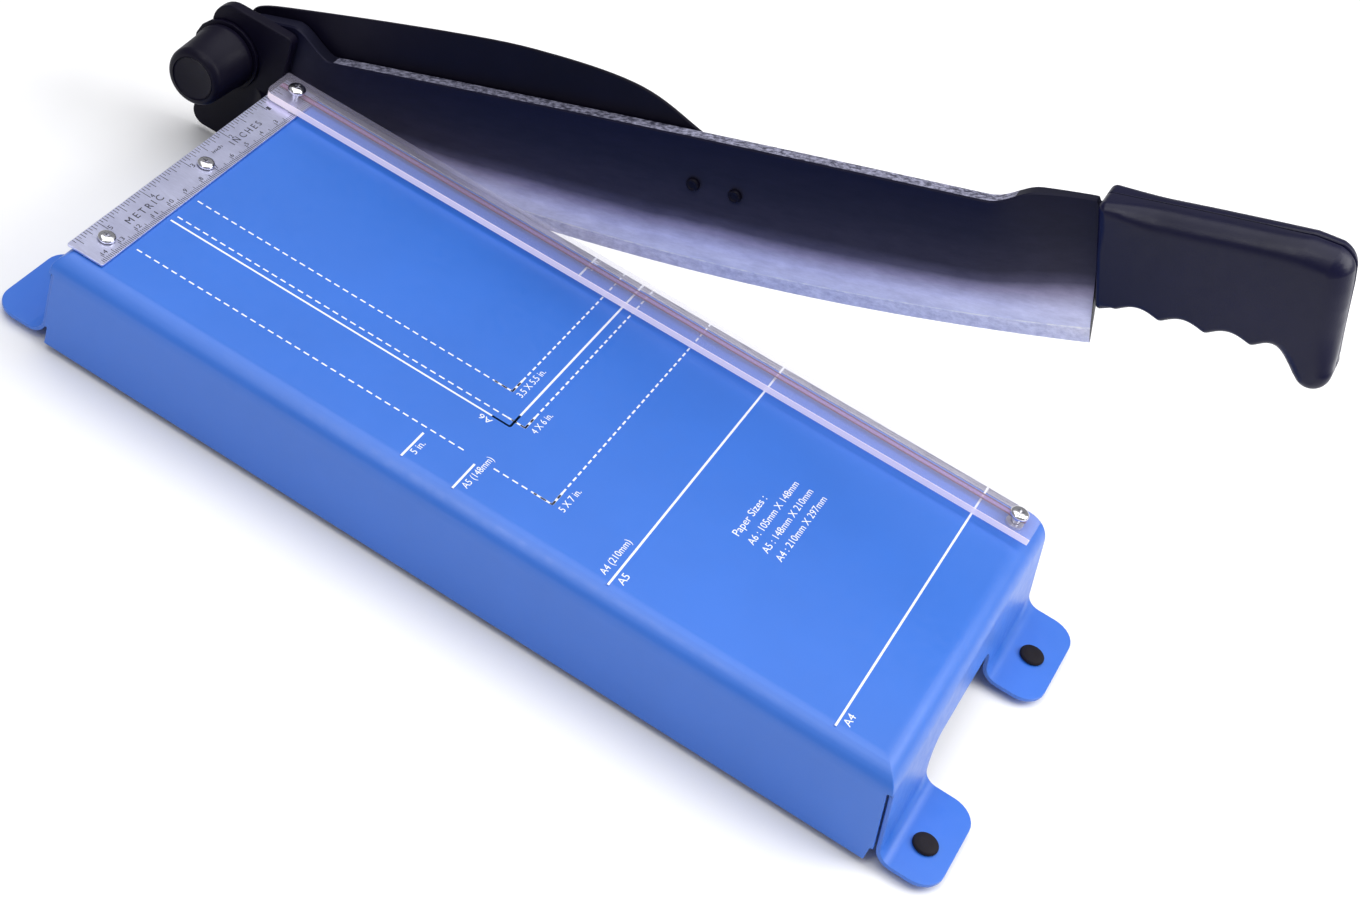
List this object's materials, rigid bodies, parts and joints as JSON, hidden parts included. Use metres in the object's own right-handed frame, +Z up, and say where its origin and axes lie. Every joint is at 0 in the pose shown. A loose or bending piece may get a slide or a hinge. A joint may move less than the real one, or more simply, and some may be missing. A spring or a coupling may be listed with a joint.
{
  "type": "guillotine paper trimmer",
  "caption": "Lever-arm guillotine paper trimmer: folded steel table on foot tabs, ruler fence, clear paper guard, bed knife, and a long curved blade with a pistol-grip handle on a rear hinge.",
  "frame": {"origin": "bottom centre of the whole trimmer's box, on the surface that its rubber feet stand on", "axes": "+Z up; +Y along the cut, from the handle back to the hinge; +X from the table out to the blade's side"},
  "size_m": [0.173, 0.4326, 0.194],
  "materials": {
    "blue_paint": "satin baked paint with printed white outlines",
    "black_paint": "semi-gloss black paint",
    "blade_paint": "thin black paint on steel, with bare ground edges",
    "ground_steel": "surface ground",
    "stainless": "brushed and engraved",
    "zinc_steel": "zinc plated",
    "clear_plastic": "clear acrylic, polished",
    "rubber": "matte moulded",
    "cap_plastic": "moulded satin",
    "grip_plastic": "fine moulded texture"
  },
  "bodies": {
    "base": {"base_body": "blue_paint", "bed_knife": "ground_steel", "knife_screw_1": "zinc_steel", "knife_screw_2": "zinc_steel", "knife_screw_3": "zinc_steel", "knife_screw_4": "zinc_steel", "knife_nut_1": "zinc_steel", "knife_nut_2": "zinc_steel", "knife_nut_3": "zinc_steel", "knife_nut_4": "zinc_steel", "ruler": "stainless", "ruler_screw_1": "stainless", "ruler_screw_2": "stainless", "ruler_nut_1": "zinc_steel", "ruler_nut_2": "zinc_steel", "paper_guard": "clear_plastic", "guard_spacer": "zinc_steel", "guard_screw_front": "stainless", "guard_screw_rear": "stainless", "guard_nut_front": "zinc_steel", "guard_nut_rear": "zinc_steel", "foot_front_left": "rubber", "foot_front_right": "rubber", "foot_rear_left": "rubber", "foot_rear_right": "rubber", "hinge_bracket": "black_paint", "bracket_screw_1": "black_paint", "bracket_screw_2": "black_paint", "bracket_nut_1": "zinc_steel", "bracket_nut_2": "zinc_steel", "pivot_bolt": "zinc_steel", "head_washer": "zinc_steel", "seat_washer": "black_paint", "pressure_spring": "zinc_steel", "spring_washer": "zinc_steel", "lock_nut": "zinc_steel", "spring_cap": "cap_plastic"},
    "arm": {"blade": "blade_paint", "pivot_bush": "zinc_steel", "tension_leaf": "black_paint", "leaf_rivet_1": "black_paint", "leaf_rivet_2": "black_paint", "handle_inner": "grip_plastic", "handle_outer": "grip_plastic", "handle_screw_1": "zinc_steel", "handle_screw_2": "zinc_steel"}
  },
  "joints": [
    {"name": "arm_hinge", "type": "hinge", "parent": "base", "child": "arm", "pos_m": [0.0655, 0.20157, 0.0424], "axis": [-1, 0, 0], "range_deg": [-14.5, 45]}
  ]
}
